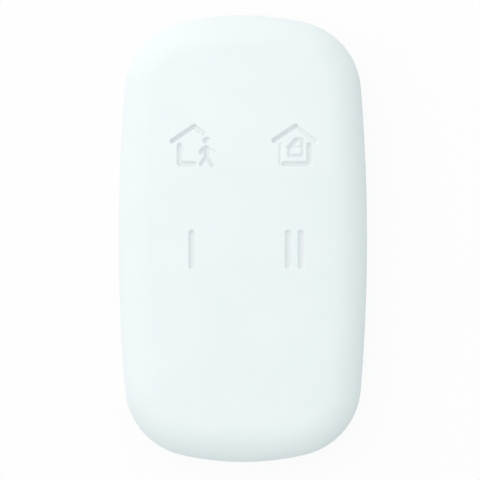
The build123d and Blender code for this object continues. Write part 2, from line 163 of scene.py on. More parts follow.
def outlineRadius(turn):
    # Radius of the arc that has that outward direction
    return ofArc(turn, caseForm["sideRadius"], caseForm["cornerRadius"], caseForm["endRadius"])


def outlinePoint(turn):
    # Point of the outline with that outward direction: its arc's centre plus its radius along it
    middleX = np.sign(np.cos(turn)) * ofArc(turn, sideCentre, cornerX, 0.0)
    middleY = np.sign(np.sin(turn)) * ofArc(turn, 0.0, cornerY, endCentre)
    radius = outlineRadius(turn)
    return middleX + radius * np.cos(turn), middleY + radius * np.sin(turn)


def evenTurns(start, stop, count, samples=4000):
    # Directions that divide a stretch of the outline into steps of equal length, the last left out
    fine = np.linspace(start, stop, samples)
    steps = outlineRadius((fine[1:] + fine[:-1]) / 2) * np.diff(fine)
    run = np.concatenate([[0.0], np.cumsum(steps)])
    return np.interp(np.linspace(0, run[-1], count + 1)[:-1], run, fine)


def crownHeight(x, y):
    # Paraboloid: the top, less x squared and y squared over twice the radius of the bow that way
    return caseTop - x**2 / (2 * caseForm["crownAcross"]) - y**2 / (2 * caseForm["crownAlong"])


def crownNormal(x, y):
    # Upward direction across the paraboloid: its slopes are x and y over the radii of the bows
    slope = stack3(x / caseForm["crownAcross"], y / caseForm["crownAlong"], np.ones_like(x))
    return slope / np.linalg.norm(slope, axis=-1, keepdims=True)


def crownPoint(x, y, depth=0.0):
    # Point of the crowned front, or a point that depth below it along the normal
    return stack3(x, y, crownHeight(x, y)) - depth * crownNormal(x, y)


# Shader node groups

def addNode(tree, kind, sockets=(), **settings):
    # A node with its settings and its incoming sockets: (socket, source) or (socket, value)
    node = tree.nodes.new(kind)
    for key, value in settings.items():
        setattr(node, key, value)
    for socket, source in sockets:
        if isinstance(source, bpy.types.NodeSocket):
            tree.links.new(source, node.inputs[socket])
        else:
            node.inputs[socket].default_value = source
    return node


def mathNode(tree, operation, *values):
    return addNode(tree, "ShaderNodeMath", enumerate(values), operation=operation).outputs[0]


def vectorMath(tree, operation, *values):
    # A length, a distance or a dot product comes out as a value, and all else as a vector
    node = addNode(tree, "ShaderNodeVectorMath", enumerate(values), operation=operation)
    return node.outputs["Value" if operation in ("LENGTH", "DISTANCE", "DOT_PRODUCT") else "Vector"]


def ramp(tree, source, low, high, outLow=0.0, outHigh=1.0):
    sockets = [("Value", source), ("From Min", low), ("From Max", high),
               ("To Min", outLow), ("To Max", outHigh)]
    return addNode(tree, "ShaderNodeMapRange", sockets, clamp=True).outputs["Result"]


noiseSpan = (0.3, 0.7)  # where most values of a noise lie


def overNoise(tree, noise, outLow=0.0, outHigh=1.0):
    return ramp(tree, noise, *noiseSpan, outLow, outHigh)


def mixColour(tree, share, first, second):
    # The colour sockets of a Mix node are the seventh and eighth, and its colour comes out third
    sockets = [(0, share), (6, first), (7, second)]
    return addNode(tree, "ShaderNodeMix", sockets, data_type="RGBA").outputs[2]


def groupNode(tree, group, **sockets):
    return addNode(tree, "ShaderNodeGroup", sockets.items(), node_tree=group)


def newGroup(name, inputs, outputs):
    group = bpy.data.node_groups.new(name, "ShaderNodeTree")
    for label, kind, value in inputs:
        socket = group.interface.new_socket(name=label, in_out="INPUT", socket_type=kind)
        if value is not None:
            socket.default_value = value
    for label, kind in outputs:
        group.interface.new_socket(name=label, in_out="OUTPUT", socket_type=kind)
    return group, group.nodes.new("NodeGroupInput").outputs, group.nodes.new("NodeGroupOutput").inputs


floatKind, vectorKind, colourKind = "NodeSocketFloat", "NodeSocketVector", "NodeSocketColor"
grainForm = {"fineDetail": 3.0, "fineRoughness": 0.6, "pitShare": 0.6,
             "slowDetail": 4.0, "slowRoughness": 0.55}
brushForm = {"detail": 5.0, "roughness": 0.7}


def makeGrainGroup():
    # Fine moulded texture for the bump height, with soft pits in it, and a slow noise for variation
    inputs = [("Vector", vectorKind, None), ("Fineness", floatKind, 6000.0), ("Coarse", floatKind, 120.0)]
    group, given, result = newGroup("mouldedGrain", inputs, [("Height", floatKind), ("Cloud", floatKind)])
    fine = addNode(group, "ShaderNodeTexNoise", [
        ("Vector", given["Vector"]), ("Scale", given["Fineness"]),
        ("Detail", grainForm["fineDetail"]), ("Roughness", grainForm["fineRoughness"])])
    pits = addNode(group, "ShaderNodeTexVoronoi", [
        ("Vector", given["Vector"]), ("Scale", given["Fineness"])], feature="SMOOTH_F1")
    slow = addNode(group, "ShaderNodeTexNoise", [
        ("Vector", given["Vector"]), ("Scale", given["Coarse"]),
        ("Detail", grainForm["slowDetail"]), ("Roughness", grainForm["slowRoughness"])])
    both = mathNode(group, "MULTIPLY_ADD",
                    pits.outputs["Distance"], grainForm["pitShare"], fine.outputs["Fac"])
    group.links.new(both, result["Height"])
    group.links.new(slow.outputs["Fac"], result["Cloud"])
    return group


def makeBrushGroup():
    # Drawn or turned metal: noise stretched along one way of the vector that it is given
    inputs = [("Vector", vectorKind, None), ("Stretch", vectorKind, (1.0, 1.0, 1.0)),
              ("Scale", floatKind, 4000.0)]
    group, given, result = newGroup("brushedLines", inputs, [("Height", floatKind), ("Streak", floatKind)])
    lines = addNode(group, "ShaderNodeTexNoise", [
        ("Vector", vectorMath(group, "MULTIPLY", given["Vector"], given["Stretch"])),
        ("Scale", given["Scale"]), ("Detail", brushForm["detail"]), ("Roughness", brushForm["roughness"])])
    group.links.new(lines.outputs["Fac"], result["Height"])
    group.links.new(overNoise(group, lines.outputs["Fac"]), result["Streak"])
    return group


def makeTintGroup():
    # Two colours mixed by a slow pattern, for the uneven tone of a real surface
    inputs = [("Fac", floatKind, 0.5), ("Light", colourKind, (1, 1, 1, 1)),
              ("Dark", colourKind, (0.8, 0.8, 0.8, 1))]
    group, given, result = newGroup("unevenTint", inputs, [("Color", colourKind)])
    mixed = mixColour(group, overNoise(group, given["Fac"]), given["Dark"], given["Light"])
    group.links.new(mixed, result["Color"])
    return group


grainGroup, brushGroup, tintGroup = makeGrainGroup(), makeBrushGroup(), makeTintGroup()


# Kinds of material. A look holds a light and a dark tone, the roughness and how far it strays to
# each side, how fine the texture is, and the bump's strength and its real height in millimetres.

def newMaterial(name, metallic=0.0):
    material = bpy.data.materials.new(name)
    material.use_nodes = True
    tree = material.node_tree
    shader = tree.nodes["Principled BSDF"]
    shader.inputs["Metallic"].default_value = metallic
    place = addNode(tree, "ShaderNodeTexCoord").outputs["Object"]
    return material, tree, shader, place


def grainOutputs(tree, place, look):
    grain = groupNode(tree, grainGroup, Vector=place, Fineness=look["fineness"], Coarse=look["coarse"])
    return grain.outputs["Height"], grain.outputs["Cloud"]


def tintInto(tree, shader, pattern, look):
    tint = groupNode(tree, tintGroup, Fac=pattern, Light=look["light"], Dark=look["dark"])
    tree.links.new(tint.outputs["Color"], shader.inputs["Base Color"])


def paintOver(tree, shader, share, colour):
    # Another colour over the one that reaches Base Color, where share is 1
    ground = shader.inputs["Base Color"].links[0].from_socket
    tree.links.new(mixColour(tree, share, ground, colour), shader.inputs["Base Color"])


def glossInto(tree, shader, cloud, look):
    gloss = overNoise(tree, cloud, look["roughness"] - look["spread"], look["roughness"] + look["spread"])
    tree.links.new(gloss, shader.inputs["Roughness"])


def bumpInto(tree, shader, height, look):
    sockets = [("Height", height), ("Strength", look["bump"]), ("Distance", look["relief"] * mm)]
    bump = addNode(tree, "ShaderNodeBump", sockets)
    tree.links.new(bump.outputs["Normal"], shader.inputs["Normal"])


def mouldedPlastic(name, look):
    # Injection moulded surface: eroded texture, faint clouds of tone and of gloss
    material, tree, shader, place = newMaterial(name)
    height, cloud = grainOutputs(tree, place, look)
    tintInto(tree, shader, cloud, look)
    glossInto(tree, shader, cloud, look)
    bumpInto(tree, shader, height, look)
    return material, tree, shader, place


def brushedInto(tree, shader, vector, look):
    # Fine lines tint the metal, spread its gloss unevenly and stand up a little
    lines = groupNode(tree, brushGroup, Vector=vector, Stretch=look["stretch"], Scale=look["scale"])
    tintInto(tree, shader, lines.outputs["Streak"], look)
    smooth, rough = look["roughness"] - look["smoother"], look["roughness"] + look["rougher"]
    gloss = ramp(tree, lines.outputs["Height"], *look["lineSpan"], smooth, rough)
    tree.links.new(gloss, shader.inputs["Roughness"])
    bumpInto(tree, shader, lines.outputs["Height"], look)


def sheetMetal(name, look):
    # Rolled, drawn or plated metal with fine lines along one way
    material, tree, shader, place = newMaterial(name, metallic=1.0)
    brushedInto(tree, shader, place, look)
    return material


def turnedMetal(name, look, centreX, centreY):
    # Metal with circular lines about an upright axis: the pattern reads the distance from the axis
    material, tree, shader, place = newMaterial(name, metallic=1.0)
    moved = vectorMath(tree, "SUBTRACT", place, (centreX * mm, centreY * mm, 0))
    parts = addNode(tree, "ShaderNodeSeparateXYZ", [(0, moved)]).outputs
    flat = addNode(tree, "ShaderNodeCombineXYZ", [("X", parts["X"]), ("Y", parts["Y"])]).outputs[0]
    radius = vectorMath(tree, "LENGTH", flat)
    line = addNode(tree, "ShaderNodeCombineXYZ", [("X", radius), ("Z", parts["Z"])]).outputs[0]
    brushedInto(tree, shader, line, look)
    return material


# The soft skin: matt elastomer with a very fine tooth, and a tone for painted shade in its sunk signs
skinLook = {"light": (0.85, 0.925, 0.93, 1), "dark": (0.825, 0.905, 0.912, 1),
            "roughness": 0.62, "spread": 0.04, "fineness": 9000.0, "coarse": 90.0,
            "bump": 0.5, "relief": 0.006, "sheen": 0.12, "sheenRoughness": 0.4, "specular": 0.35,
            "grooveShadeTone": (0.995, 0.95, 0.957, 1)}
signForm = {"toneDepth": 0.5, "slope": 0.34}


def makeSkin(name, grooveShadeTone=None):
    # With a shade tone given, the colour is multiplied by that tone towards the bottom of the sunk signs:
    # painted shade in the grooves. It reads how far a point lies below the crown
    material, tree, shader, place = mouldedPlastic(name, skinLook)
    shader.inputs["Sheen Weight"].default_value = skinLook["sheen"]
    shader.inputs["Sheen Roughness"].default_value = skinLook["sheenRoughness"]
    shader.inputs["Specular IOR Level"].default_value = skinLook["specular"]
    if grooveShadeTone is not None:
        # Painted shade: darker towards the bottom of the sunk signs
        parts = addNode(tree, "ShaderNodeSeparateXYZ", [(0, place)]).outputs
        height = parts["Z"]
        for side, bow in (("X", caseForm["crownAcross"]), ("Y", caseForm["crownAlong"])):
            square = mathNode(tree, "MULTIPLY", parts[side], parts[side])
            height = mathNode(tree, "MULTIPLY_ADD", square, 1 / (2 * bow * mm), height)
        raised = ramp(tree, height, (caseTop - signForm["toneDepth"]) * mm, caseTop * mm)
        tone = mixColour(tree, raised, grooveShadeTone, (1, 1, 1, 1))
        ground = shader.inputs["Base Color"].links[0].from_socket
        tree.links.new(vectorMath(tree, "MULTIPLY", ground, tone), shader.inputs["Base Color"])
    return material


softSkin, signSkin = makeSkin("softSkin"), makeSkin("signSkin", skinLook["grooveShadeTone"])
print("skin material made")


# Kinds of stroke in the signs: half width and depth
strokeForm = {
    "roof": (0.28, 0.7),
    "shortRoof": (0.27, 0.45),
    "faintRoof": (0.22, 0.35),
    "wall": (0.31, 0.55),
    "faintWall": (0.28, 0.2),
    "head": (0.38, 0.55),
    "thick": (0.28, 0.6),
    "middling": (0.22, 0.5),
    "thin": (0.15, 0.25),
    "lock": (0.2, 0.42),
    "bar": (0.36, 0.54),
}
# Each sign's strokes: a kind and the points that its middle line runs through, about the key's centre
signs = {
    "away": [
        ("roof", [(-2.85, 0.16), (0.43, 2.38)]),
        ("shortRoof", [(0.43, 2.38), (1.95, 1.24)]),
        ("wall", [(-1.76, -0.5), (-1.76, -3.27), (0.5, -3.27)]),
        ("head", [(2.2, 0.27), (2.36, 0.34)]),
        ("thick", [(1.5, -1.5), (1.91, -1.02), (2.32, -0.83), (2.32, -2.15), (2.0, -2.57), (1.54, -3.25)]),
        ("thin", [(2.33, -0.79), (2.91, -1.24), (3.65, -1.46)]),
        ("middling", [(2.32, -2.15), (2.66, -2.76), (3.2, -3.6)]),
    ],
    "home": [
        ("roof", [(-3.1, 0.24), (0.18, 2.43)]),
        ("faintRoof", [(0.18, 2.38), (3.33, 0.11)]),
        ("faintWall", [(-2.06, -0.4), (-2.06, -3.28), (-1.6, -3.28)]),
        ("wall", [(-1.6, -3.28), (2.21, -3.28), (2.21, -0.4)]),
        ("lock", [(-0.78, -0.78), (-0.78, -2.05), (1.19, -2.05), (1.19, -0.78)]),
        ("thin", [(-0.78, -0.78), (1.19, -0.78)]),
        ("thick", [(-0.78, -0.78), (-0.37, -0.4), (-0.02, 0.02), (0.16, 0.3)]),
        ("lock", [(0.16, 0.3), (0.47, 0.46), (0.89, 0.48), (1.17, 0.3), (1.2, -0.1), (1.19, -0.78)]),
    ],
    "one": [("bar", [(0.06, 2.43), (0.06, -2.62)])],
    "two": [("bar", [(-0.98, 2.43), (-0.98, -2.62)]), ("bar", [(0.96, 2.43), (0.96, -2.62)])],
}

keyForm = {"column": 7.77, "rowHigh": 14.5, "pitch": 16.05, "halfWidth": 5.4, "halfLength": 6.2,
           "bend": 1.35, "capCell": 0.06, "bendCells": 9}
keyCentres = {
    "away": (-keyForm["column"], keyForm["rowHigh"]),
    "home": (keyForm["column"], keyForm["rowHigh"]),
    "one": (-keyForm["column"], keyForm["rowHigh"] - keyForm["pitch"]),
    "two": (keyForm["column"], keyForm["rowHigh"] - keyForm["pitch"]),
}
# Cells along a key window's width and length, and between the windows
windowCells = {"x": 48, "y": 40, "betweenX": 20, "betweenY": 12}


def strokeDepth(x, y, strokes, slope):
    # Depth of sunk lines, each with a half width, a depth and points: full at the stroke's middle
    # line, easing smoothly to nothing on a slope whose middle lies at the half width
    depth = np.zeros_like(x)
    for half, full, points in strokes:
        ease = min(slope, 2 * half)
        for (ax, ay), (bx, by) in zip(points[:-1], points[1:]):
            runX, runY = bx - ax, by - ay
            share = np.clip(((x - ax) * runX + (y - ay) * runY) / (runX**2 + runY**2), 0, 1)
            away = np.hypot(x - ax - share * runX, y - ay - share * runY)
            inside = np.clip((half + ease / 2 - away) / ease, 0, 1)
            depth = np.maximum(depth, full * inside**2 * (3 - 2 * inside))
    return depth


# Skin over the four keys: a sunk sign on a cap that moves with the key, and four strips round the cap

def makeKeySkin(name):
    centreX, centreY = keyCentres[name]
    bend, wall = keyForm["bend"], caseForm["skinWall"]
    halfX, halfY = keyForm["halfWidth"] - bend, keyForm["halfLength"] - bend
    acrossCount, alongCount = round(2 * halfX / keyForm["capCell"]), round(2 * halfY / keyForm["capCell"])
    localY, localX = np.meshgrid(np.linspace(-halfY, halfY, alongCount + 1),
                                 np.linspace(-halfX, halfX, acrossCount + 1), indexing="ij")
    top = crownPoint(centreX + localX, centreY + localY)
    under = crownPoint(centreX + localX, centreY + localY, wall)
    strokes = [(*strokeForm[kind], points) for kind, points in signs[name]]
    top[..., 2] -= strokeDepth(localX, localY, strokes, signForm["slope"])
    cap = makePiece(f"skin_over_key_{name}", solidSheets(top, under), signSkin)
    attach(cap, f"key_{name}")
    # Each strip fans out from a side of the cap to the same side of the key's window
    sides = {"left": (-1, 0), "right": (1, 0), "head": (0, 1), "tail": (0, -1)}
    for side, (wayX, wayY) in sides.items():
        count = windowCells["x"] if wayX == 0 else windowCells["y"]
        out, along = np.meshgrid(np.linspace(0, 1, keyForm["bendCells"] + 1),
                                 np.linspace(-1, 1, count + 1), indexing="ij")
        spanX, spanY = halfX + out * bend, halfY + out * bend
        x = centreX + (wayX * spanX if wayX else along * spanX)
        y = centreY + (wayY * spanY if wayY else along * spanY)
        sheets = solidSheets(crownPoint(x, y), crownPoint(x, y, wall))
        strip = makePiece(f"skin_bend_{name}_{side}", sheets, softSkin)
        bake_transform(strip)


def windowLines():
    # Grid lines across and along the field of keys, with lines on every window's edges
    column, halfX, halfY = keyForm["column"], keyForm["halfWidth"], keyForm["halfLength"]
    high, low = keyForm["rowHigh"], keyForm["rowHigh"] - keyForm["pitch"]

    def spread(edges, window, between):
        runs = [np.linspace(a, b, n, endpoint=False) for a, b, n in
                zip(edges[:-1], edges[1:], (window, between, window))]
        return np.append(np.concatenate(runs), edges[-1])

    linesX = spread([-column - halfX, -column + halfX, column - halfX, column + halfX],
                    windowCells["x"], windowCells["betweenX"])
    linesY = spread([low - halfY, low + halfY, high - halfY, high + halfY],
                    windowCells["y"], windowCells["betweenY"])
    return linesX, linesY


def inWindow(x, y):
    # Where a point lies less than the window's half width and half length from a key's centre
    found = np.zeros(x.shape, bool)
    for centreX, centreY in keyCentres.values():
        found |= (np.abs(x - centreX) < keyForm["halfWidth"]) & (np.abs(y - centreY) < keyForm["halfLength"])
    return found


# Steps up the skin's edge, its upright side, its rolled rim and the crown beside the field of keys,
# and rounds of the search for where the rim touches the crown
bandSteps = {"edge": 5, "side": 4, "roll": 18, "apron": 14, "touch": 8}


def skinBand(turns, fieldX, fieldY, depth):
    # From the parting line up the side, round the rim and over the crown to the field of keys.
    # The rim is a ball rolled between the upright side and the crown: from the ball's centre the
    # surface points swing from the side's direction to the crown's normal along a great circle.
    radius = caseForm["rimRadius"]
    outX, outY = outlinePoint(turns)
    sideways = stack3(np.cos(turns), np.sin(turns), 0.0)
    ballX, ballY = outX - radius * sideways[:, 0], outY - radius * sideways[:, 1]
    # Each round moves the place where the ball touches the crown by the normal at the last place
    touchX, touchY = ballX, ballY
    for _ in range(bandSteps["touch"]):
        lean = crownNormal(touchX, touchY)
        touchX, touchY = ballX + radius * lean[:, 0], ballY + radius * lean[:, 1]
    lean = crownNormal(touchX, touchY)
    ball = stack3(touchX, touchY, crownHeight(touchX, touchY)) - radius * lean
    # The outer wall starts with a small quarter round above the parting line
    edge = caseForm["skinEdge"] if depth == 0 else 0.0
    bend = np.linspace(math.pi / 2, 0, bandSteps["edge"] + 1)[:, None]
    rise = np.linspace(0, 1, bandSteps["side"] + 1)[1:-1, None]
    inset = np.concatenate([edge * (1 - np.cos(bend)), 0 * rise]) + depth
    low = skinBottom + edge * (1 - np.sin(bend)) + 0 * ball[:, 2]
    wallHeight = np.concatenate([low, low[-1] + rise * (ball[:, 2] - low[-1])])
    wall = stack3(outX - inset * sideways[:, 0], outY - inset * sideways[:, 1], wallHeight)
    swing = np.arccos(np.clip((sideways * lean).sum(-1), -1, 1))[:, None]
    share = np.linspace(0, 1, bandSteps["roll"] + 1)[:, None, None]
    towards = (np.sin((1 - share) * swing) * sideways + np.sin(share * swing) * lean) / np.sin(swing)
    roll = ball + (radius - depth) * towards
    share = np.linspace(0, 1, bandSteps["apron"] + 1)[1:, None]
    apron = crownPoint(touchX + share * (fieldX - touchX), touchY + share * (fieldY - touchY), depth)
    return np.concatenate([wall, roll, apron])


def makeFrontSkin():
    linesX, linesY = windowLines()
    wall = caseForm["skinWall"]
    # The rim of the field of keys, a side at a time, beside as many even steps of the outline:
    # each long side of the field faces the stretch of the side arc that lies at its height
    low = math.asin((linesY[0] - wall / 2) / caseForm["sideRadius"])
    high = math.asin((linesY[-1] + wall / 2) / caseForm["sideRadius"])
    starts = [low, high, math.pi - high, math.pi - low]
    stops = starts[1:] + [2 * math.pi + low]
    sidesX = [np.full(len(linesY), linesX[-1]), linesX[::-1], np.full(len(linesY), linesX[0]), linesX]
    sidesY = [linesY, np.full(len(linesX), linesY[-1]), linesY[::-1], np.full(len(linesX), linesY[0])]
    turns = np.concatenate([evenTurns(a, b, len(s) - 1) for a, b, s in zip(starts, stops, sidesX)])
    fieldX = np.concatenate([s[:-1] for s in sidesX])
    fieldY = np.concatenate([s[:-1] for s in sidesY])
    fieldGridX, fieldGridY = np.meshgrid(linesX, linesY)
    middleX, middleY = np.meshgrid((linesX[1:] + linesX[:-1]) / 2, (linesY[1:] + linesY[:-1]) / 2)
    keep = ~inWindow(middleX, middleY)
    sheets = []
    for depth in (0.0, wall):
        sheets.append((skinBand(turns, fieldX, fieldY, depth), True, None))
        sheets.append((crownPoint(fieldGridX, fieldGridY, depth), False, keep))
    # Flat edge at the parting line, between the outer and the inner band
    outer, inner = sheets[0][0][0], sheets[2][0][0]
    sheets.append((np.stack([outer, inner]), True, None))
    # Walls of the four windows, with the grid's own points along them
    hair = wall / 100  # the lines on a window's edges count too
    for centreX, centreY in keyCentres.values():
        x = linesX[np.abs(linesX - centreX) < keyForm["halfWidth"] + hair]
        y = linesY[np.abs(linesY - centreY) < keyForm["halfLength"] + hair]
        loopX = np.concatenate([x[:-1], np.full(len(y) - 1, x[-1]), x[:0:-1], np.full(len(y) - 1, x[0])])
        loopY = np.concatenate([np.full(len(x) - 1, y[0]), y[:-1], np.full(len(x) - 1, y[-1]), y[:0:-1]])
        sheets.append((np.stack([crownPoint(loopX, loopY), crownPoint(loopX, loopY, wall)]), True, None))
    skin = makePiece("front_skin_shell", sheets, softSkin)
    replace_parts(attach(skin, "case"), "front_skin")


makeFrontSkin()
print("front skin made")
for keyName in keyCentres:
    makeKeySkin(keyName)
print("key skins made")


# Case screws: pan head with a cross recess, and a thread that cuts its own way in plastic.
# The turns are how far round each screw stands, in radians.
screwForm = {"column": 10.6, "row": 25.0, "turns": (0.2, 0.75, 1.2, 0.5),
             "headRadius": 1.5, "headLow": 0.6, "headTop": 1.7, "edge": 0.3,
             "core": 0.6, "crest": 0.85, "pitch": 0.8, "ridgeShare": 0.32, "runOut": 0.5,
             "tip": 7.2, "tipShare": 0.35, "taper": 0.9,
             "recessHalf": 0.17, "recessReach": 0.62, "recessDepth": 0.6, "recessSlope": 0.16}
screwSteps = {"around": 72, "shank": 119, "edge": 6, "face": 29}


def screwSheet(centreX, centreY, turned):
    # One grid from the tip up the thread, round the head and over its face to the middle.
    # Thread: radius = core plus a ridge whose place along the screw advances a pitch each turn.
    form = screwForm
    around = np.linspace(0, 2 * math.pi, screwSteps["around"], endpoint=False)[None, :]
    shank = np.linspace(form["tip"], form["headTop"], screwSteps["shank"] + 1)[:, None]
    phase = np.mod(shank / form["pitch"] - around / (2 * math.pi), 1)
    ridge = np.clip(1 - np.abs(phase - 0.5) / form["ridgeShare"], 0, 1)
    fromTip = (form["tip"] - shank) / form["taper"]
    fade = np.clip(fromTip, 0, 1) * np.clip((shank - form["headTop"]) / form["runOut"], 0, 1)
    point = np.clip(form["tipShare"] + (1 - form["tipShare"]) * fromTip, 0, 1)
    shankRadius = form["core"] * point + (form["crest"] - form["core"]) * ridge * fade
    shoulder = np.array([[form["core"]], [form["headRadius"]], [form["headRadius"]]])
    shoulderHeight = np.array([[form["headTop"]], [form["headTop"]], [form["headTop"] - form["edge"]]])
    # Head's edge: a quarter round between its side and its face
    swing = np.linspace(0, math.pi / 2, screwSteps["edge"] + 1)[:, None]
    edgeRadius = form["headRadius"] - form["edge"] * (1 - np.cos(swing))
    edgeHeight = form["headLow"] + form["edge"] * (1 - np.sin(swing))
    face = np.linspace(form["headRadius"] - form["edge"], 0, screwSteps["face"] + 1)[1:, None]
    half, deep, reach = form["recessHalf"], form["recessDepth"], form["recessReach"]
    arms = [(half, deep, [(-reach, 0), (reach, 0)]), (half, deep, [(0, -reach), (0, reach)])]
    sunk = strokeDepth(face * np.cos(around), face * np.sin(around), arms, form["recessSlope"])
    ring = np.zeros_like(around)
    radius = np.concatenate([part + ring for part in (0.0, shankRadius, shoulder, edgeRadius, face)])
    height = np.concatenate([part + ring for part in
                             (form["tip"], shank, shoulderHeight, edgeHeight, form["headLow"] + sunk)])
    angle = around + turned
    return stack3(centreX + radius * np.cos(angle), centreY + radius * np.sin(angle), height)


def makeScrews(material):
    places = [(wayX * screwForm["column"], wayY * screwForm["row"]) for wayX in (-1, 1) for wayY in (-1, 1)]
    sheets = [(screwSheet(x, y, turn), True, None) for (x, y), turn in zip(places, screwForm["turns"])]
    screws = makePiece("case_screws_cut", sheets, material)
    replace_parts(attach(screws, "case"), "case_screws")


# Snap domes of the key switches
domeForm = {"sheet": 0.06, "pressedGap": 0.02, "rings": 20, "around": 64}


def ballSlice(rim, rise, share):
    # Height of a slice of a ball over its rim, at a share of the rim's radius from the middle:
    # the ball's height there, less the height at which the slice was cut
    ball = (rim**2 + rise**2) / (2 * rise)
    return np.sqrt(ball**2 - (rim * share)**2) - (ball - rise)


def makeDome(name, material):
    # Two slices of a ball, one a sheet's thickness inside the other, joined by a flat ring at the rim
    low, high = [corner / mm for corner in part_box(f"snap_dome_{name}")]
    middleX, middleY = (low.x + high.x) / 2, (low.y + high.y) / 2
    rim, rise = (high.x - low.x) / 2, high.z - low.z
    turn = np.linspace(0, 2 * math.pi, domeForm["around"], endpoint=False)[None, :]
    share = np.linspace(0, 1, domeForm["rings"])[:, None]
    radius, height = [], []
    for thin, way in ((0.0, 1), (domeForm["sheet"], -1)):
        radius.append(((rim - thin) * share)[::way])
        height.append(ballSlice(rim - thin, rise - thin, share)[::way])
    radius, height = np.concatenate(radius), np.concatenate(height)
    grid = stack3(middleX + radius * np.cos(turn), middleY + radius * np.sin(turn), low.z + height)
    dome = makePiece(f"sprung_dome_{name}", [(grid, True, None)], material)
    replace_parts(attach(dome, "case"), f"snap_dome_{name}")
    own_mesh(dome)


# Raised and inked marks on the outside of the battery door: an arrow each way along the turn, twice,
# and a pointer towards the dots of the cover
doorLow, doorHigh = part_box("battery_door")
markForm = {"radius": 9.9, "halfWidth": 0.2, "height": 0.12, "halfTurn": 0.42, "sunk": 0.02, "endShare": 0.02,
            "head": 1.1, "headTurn": 0.7, "pointer": (11.6, 12.7)}
markPoints = {"arc": 60, "short": 14, "across": 11}
printInk = (0.2, 0.22, 0.23, 1)
doorMiddleY = (doorLow.y + doorHigh.y) / 2 / mm
doorFace = doorLow.z / mm


def beadSheets(pathX, pathY):
    # Low rounded bead along a path: a half ellipse across it, drawn in to a round end at both ends
    form = markForm
    stepX, stepY = np.gradient(pathX), np.gradient(pathY)
    size = np.hypot(stepX, stepY)
    run = np.concatenate([[0], np.cumsum(np.hypot(np.diff(pathX), np.diff(pathY)))])
    toEnd = np.clip(np.minimum(run, run[-1] - run) / form["halfWidth"], 0, 1)
    wide = form["halfWidth"] * np.maximum(np.sqrt(1 - (1 - toEnd)**2), form["endShare"])
    across = np.linspace(-1, 1, markPoints["across"])[:, None]
    x = pathX - across * wide * stepY / size
    y = pathY + across * wide * stepX / size
    rise = form["height"] * np.sqrt(1 - across**2) * wide / form["halfWidth"]
    foot = np.full_like(x, doorFace + form["sunk"])
    return solidSheets(stack3(x, y, foot - rise), stack3(x, y, foot))


def makeDoorMarks(material):
    form, sheets = markForm, []
    for middle in (math.pi / 2, -math.pi / 2):
        turn = np.linspace(middle - form["halfTurn"], middle + form["halfTurn"], markPoints["arc"])
        sheets += beadSheets(form["radius"] * np.cos(turn), doorMiddleY + form["radius"] * np.sin(turn))
        for way in (-1, 1):
            end = middle + way * form["halfTurn"]
            tipX, tipY = form["radius"] * math.cos(end), doorMiddleY + form["radius"] * math.sin(end)
            for side in (-1, 1):
                back = end - way * math.pi / 2 + side * form["headTurn"]
                run = np.linspace(0, form["head"], markPoints["short"])
                sheets += beadSheets(tipX + run * math.cos(back), tipY + run * math.sin(back))
    pointerY = doorMiddleY + np.linspace(*form["pointer"], markPoints["short"])
    sheets += beadSheets(np.zeros_like(pointerY), pointerY)
    marks = makePiece("door_turn_marks", sheets, material)
    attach(marks, "battery_door")


# Finishes of the hard pieces
coverLook = {"light": (0.8, 0.865, 0.87, 1), "dark": (0.775, 0.845, 0.85, 1),
             "roughness": 0.46, "spread": 0.06, "fineness": 5200.0, "coarse": 120.0,
             "bump": 0.5, "relief": 0.012,
             "dotRadius": 0.5, "dotEdge": 0.03, "dotFromDoor": 1.5, "dotTurn": 40.0}


def makeCoverPlastic():
    # Two small printed dots beside the door show where its mark stands when shut and when open
    material, tree, shader, place = mouldedPlastic("coverPlastic", coverLook)
    reach = (doorHigh.x - doorLow.x) / 2 / mm + coverLook["dotFromDoor"]
    inner = coverLook["dotRadius"] * mm
    outer = inner + coverLook["dotEdge"] * mm
    dots = []
    for turn in (0.0, math.radians(coverLook["dotTurn"])):
        spot = (reach * math.sin(turn) * mm, (doorMiddleY + reach * math.cos(turn)) * mm, 0)
        dots.append(ramp(tree, vectorMath(tree, "DISTANCE", place, spot), inner, outer, 1.0, 0.0))
    paintOver(tree, shader, mathNode(tree, "MAXIMUM", *dots), printInk)
    return material


boardLook = {"light": (0.03, 0.2, 0.09, 1), "dark": (0.02, 0.15, 0.07, 1), "track": (0.05, 0.28, 0.12, 1),
             "trackScale": 420.0, "trackWidth": 0.03, "trackBlur": 0.2, "trackShift": 0.5,
             "roughness": 0.28, "spread": 0.06, "fineness": 3000.0, "coarse": 400.0,
             "bump": 0.4, "relief": 0.02}


def makeBoardLaminate():
    # Green solder mask with the faint lines of the copper under it: the joints of a brick pattern
    material, tree, shader, place = newMaterial("boardLaminate")
    cloud = grainOutputs(tree, place, boardLook)[1]
    brick, joint = (0, 0, 0, 1), (1, 1, 1, 1)
    tracks = addNode(tree, "ShaderNodeTexBrick", [
        ("Vector", place), ("Scale", boardLook["trackScale"]), ("Mortar Size", boardLook["trackWidth"]),
        ("Mortar Smooth", boardLook["trackBlur"]), ("Color1", brick), ("Color2", brick), ("Mortar", joint)],
        offset=boardLook["trackShift"]).outputs["Color"]
    tintInto(tree, shader, cloud, boardLook)
    paintOver(tree, shader, tracks, boardLook["track"])
    glossInto(tree, shader, cloud, boardLook)
    bumpInto(tree, shader, tracks, boardLook)
    return material


chipLook = {"light": (0.36, 0.26, 0.17, 1), "dark": (0.26, 0.18, 0.11, 1), "tin": (0.75, 0.74, 0.72, 1),
            "halfWidth": 0.5, "bareHalf": 0.27, "tinEdge": 0.03,
            "roughness": 0.425, "spread": 0.075, "fineness": 9000.0, "coarse": 1500.0,
            "bump": 0.3, "relief": 0.01}


